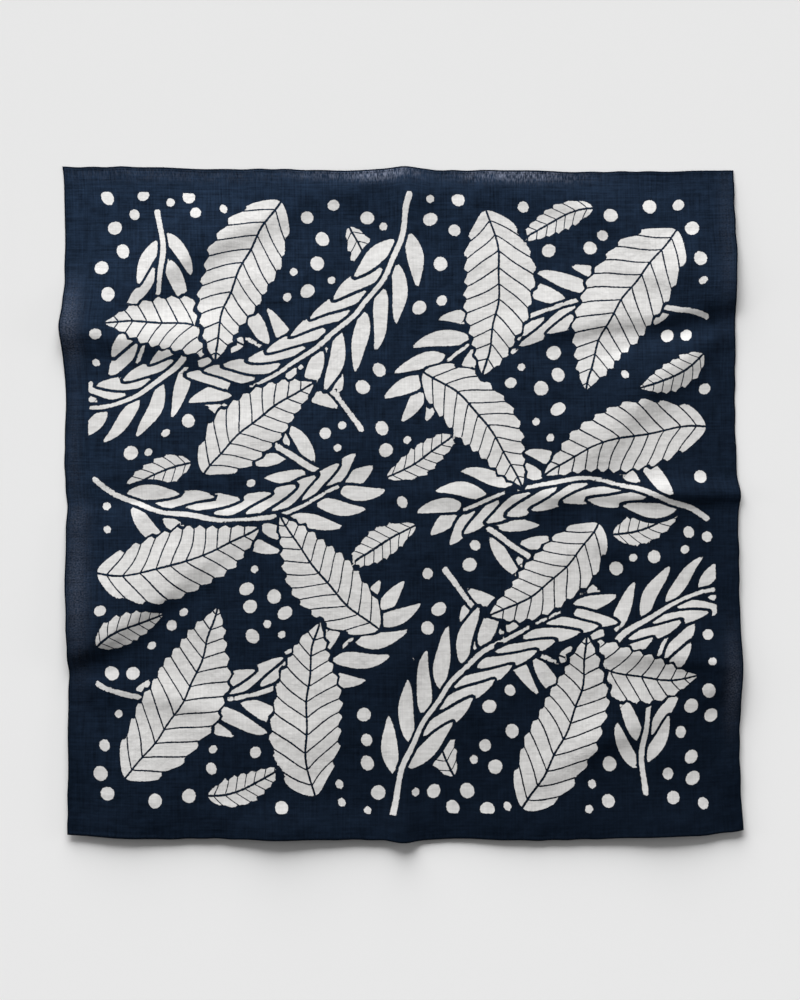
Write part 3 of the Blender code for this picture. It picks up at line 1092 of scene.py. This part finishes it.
def make_cloth():
    """A grid on the folds, with its print in point attributes, given its thickness and hem."""
    across_lines = grid_lines(FLAT_WIDTH)
    back_lines = grid_lines(FLAT_DEPTH)
    cells = len(across_lines) - 1
    bpy.ops.mesh.primitive_grid_add(x_subdivisions=cells, y_subdivisions=cells, size=2.0)
    cloth = bpy.context.object
    cloth.name = "printed_cloth"
    mesh = cloth.data
    mesh.name = cloth.name

    column, row = np.rint((point_places(mesh)[:, :2].T + 1.0) * 0.5 * cells).astype(int)
    across = across_lines[column]
    back = back_lines[row]
    placed = np.stack(cloth_point(across, back), axis=1) * MM
    mesh.vertices.foreach_set("co", placed.ravel())
    corners = np.empty(len(mesh.loops), dtype=int)
    mesh.loops.foreach_get("vertex_index", corners)
    flat = np.stack((across, back), axis=1)
    mesh.uv_layers.active.data.foreach_set("uv", flat[corners].ravel())
    mesh.update()

    x = (across - 0.5) * FLAT_WIDTH
    y = (back - 0.5) * FLAT_DEPTH
    design = lay_print(x, y, row * (cells + 1) + column, cells + 1)
    set_field(mesh, "flat_place", x, y)
    set_field(mesh, "print_a", *design.layers[:3])
    set_field(mesh, "print_b", design.layers[3], NOWHERE, NOWHERE)
    set_field(mesh, "leaf_marks", design.leaf, design.vein, design.rib)
    set_field(mesh, "sheer_painted_light", sheer_painted_light_share(BACK_SHEER_PAINTED_LIGHT, x, y), sheer_painted_light_share(SIDE_SHEER_PAINTED_LIGHT, x, y))

    ring = np.minimum(np.minimum(column, cells - column), np.minimum(row, cells - row))
    add_thickness(cloth, ring)
    add_materials(cloth.data, ring)
    cloth.data.shade_smooth()
    return cloth


def stitch_frames():
    """Centre and direction of each stitch, in mm, along the four hems."""
    centres = []
    ahead = []
    sides = ((FLAT_WIDTH, FLAT_DEPTH, 0), (FLAT_DEPTH, FLAT_WIDTH, 1))
    for length, other, axis in sides:
        count = int((length - 2.0 * STITCH_INSET) / STITCH_PITCH)
        at = STITCH_INSET + (np.arange(count) + 0.5) * (length - 2.0 * STITCH_INSET) / count
        for inset in (STITCH_INSET, other - STITCH_INSET):
            aside = np.full(at.shape, inset / other)
            ends = []
            for end in (-0.5, 0.5):
                along = (at + end * STITCH_LENGTH) / length
                spot = (along, aside) if axis == 0 else (aside, along)
                ends.append(np.stack(cloth_point(*spot), axis=1))
            centres.append(0.5 * (ends[0] + ends[1]))
            ahead.append(ends[1] - ends[0])
    return np.concatenate(centres), np.concatenate(ahead)


def make_stitches():
    """Short threads that lie in the hem's groove, all in one mesh."""
    bm = bmesh.new()
    bmesh.ops.create_uvsphere(
        bm, u_segments=STITCH_SEGMENTS, v_segments=STITCH_RINGS, radius=0.5
    )
    shape = np.array([vertex.co[:] for vertex in bm.verts])
    faces = [[vertex.index for vertex in face.verts] for face in bm.faces]
    bm.free()
    centres, ahead = stitch_frames()
    share = float(np.interp(STITCH_INSET, HEM_LINES, HEM_SHARES))
    top = SHEET_THICKNESS + (HEM_THICKNESS - SHEET_THICKNESS) * share
    centres[:, 2] += top - STITCH_SINK
    length = np.linalg.norm(ahead, axis=1, keepdims=True)
    side = np.stack((-ahead[:, 1], ahead[:, 0], np.zeros(len(ahead))), axis=1)
    side = side / np.linalg.norm(side, axis=1, keepdims=True)
    up = np.cross(ahead / length, side)
    spots = centres[:, None, :] + shape[None, :, 0:1] * ahead[:, None, :]
    spots = spots + STITCH_WIDTH * (shape[None, :, 1:2] * side[:, None, :])
    spots = spots + STITCH_WIDTH * (shape[None, :, 2:3] * up[:, None, :])
    every_face = [
        [k * len(shape) + corner for corner in face] for k in range(len(centres)) for face in faces
    ]
    mesh = bpy.data.meshes.new("hem_stitches")
    mesh.from_pydata((spots.reshape(-1, 3) * MM).tolist(), [], every_face)
    mesh.shade_smooth()
    mesh.materials.append(thread_and_rim_shade_material("navy_thread"))
    stitches = bpy.data.objects.new("hem_stitches", mesh)
    bpy.context.collection.objects.link(stitches)
    return stitches


def panel_light(panel, x, y):
    """How bright a panel makes a white floor at x, y, reckoned from a grid of points on it."""
    middle = Vector((panel.x, panel.y, panel.z))
    turn = (-middle).to_track_quat("-Z", "Y")
    facing = turn @ Vector((0.0, 0.0, -1.0))
    steps = PANEL_STEPS
    total = np.zeros(x.shape)
    for i in range(steps):
        for k in range(steps):
            across = ((i + 0.5) / steps - 0.5) * panel.width
            up = ((k + 0.5) / steps - 0.5) * panel.height
            spot = middle + turn @ Vector((across, up, 0.0))
            dx = x - spot.x
            dy = y - spot.y
            square = dx * dx + dy * dy + spot.z * spot.z
            ahead = np.maximum(dx * facing.x + dy * facing.y - spot.z * facing.z, 0.0)
            total += max(spot.z, 0.0) * ahead / (square * square)
    return total * panel.power / (math.pi**2 * steps**2)


def floor_material():
    nodes = Nodes("pale_floor")
    nodes.shade(base_color=nodes.field("tone", "Fac"), roughness=1.0, specular_ior_level=0.0)
    return nodes.material


def make_floor():
    """A pale surface that is darker near the light, so that it looks evenly lit."""
    bpy.ops.mesh.primitive_grid_add(
        x_subdivisions=FLOOR_CELLS, y_subdivisions=FLOOR_CELLS, size=FLOOR_SIZE
    )
    floor = bpy.context.object
    floor.name = "floor"
    mesh = floor.data
    x, y, _ = point_places(mesh).T
    lit = AMBIENT + sum(panel_light(panel, x, y) for panel in PANELS)
    tone = mesh.attributes.new("tone", "FLOAT", "POINT")
    tone.data.foreach_set("value", np.minimum(FLOOR_BRIGHTNESS / lit, FLOOR_PALEST))
    mesh.materials.append(floor_material())
    return floor


def make_lights():
    """A tall soft panel behind the cloth, low ones at its sides, and faint light all round."""
    for row in PANELS:
        panel = bpy.data.lights.new(row.name, "AREA")
        panel.shape = "RECTANGLE"
        panel.size = row.width
        panel.size_y = row.height
        panel.energy = row.power
        holder = bpy.data.objects.new(row.name, panel)
        holder.location = (row.x, row.y, row.z)
        holder.rotation_euler = (-holder.location).to_track_quat("-Z", "Y").to_euler()
        bpy.context.collection.objects.link(holder)
    world = bpy.data.worlds.new("studio")
    world.use_nodes = True
    inputs = world.node_tree.nodes["Background"].inputs
    inputs["Color"].default_value = (1.0, 1.0, 1.0, 1.0)
    inputs["Strength"].default_value = AMBIENT
    bpy.context.scene.world = world
    bpy.context.scene.view_settings.view_transform = "Standard"


def make_camera():
    camera = bpy.data.cameras.new("camera")
    camera.sensor_fit = "VERTICAL"
    camera.sensor_height = SENSOR
    camera.lens = SENSOR * CAMERA_HEIGHT / (PICTURE_HEIGHT * PIXEL * MM)
    holder = bpy.data.objects.new("camera", camera)
    holder.location = (PICTURE_MIDDLE[0] * MM, PICTURE_MIDDLE[1] * MM, CAMERA_HEIGHT)
    bpy.context.collection.objects.link(holder)
    bpy.context.scene.camera = holder


make_camera()
floor = make_floor()
make_lights()
cloth = make_cloth()
stitches = make_stitches()
for piece in (cloth, stitches):
    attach(piece, "root")
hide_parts("bandana")
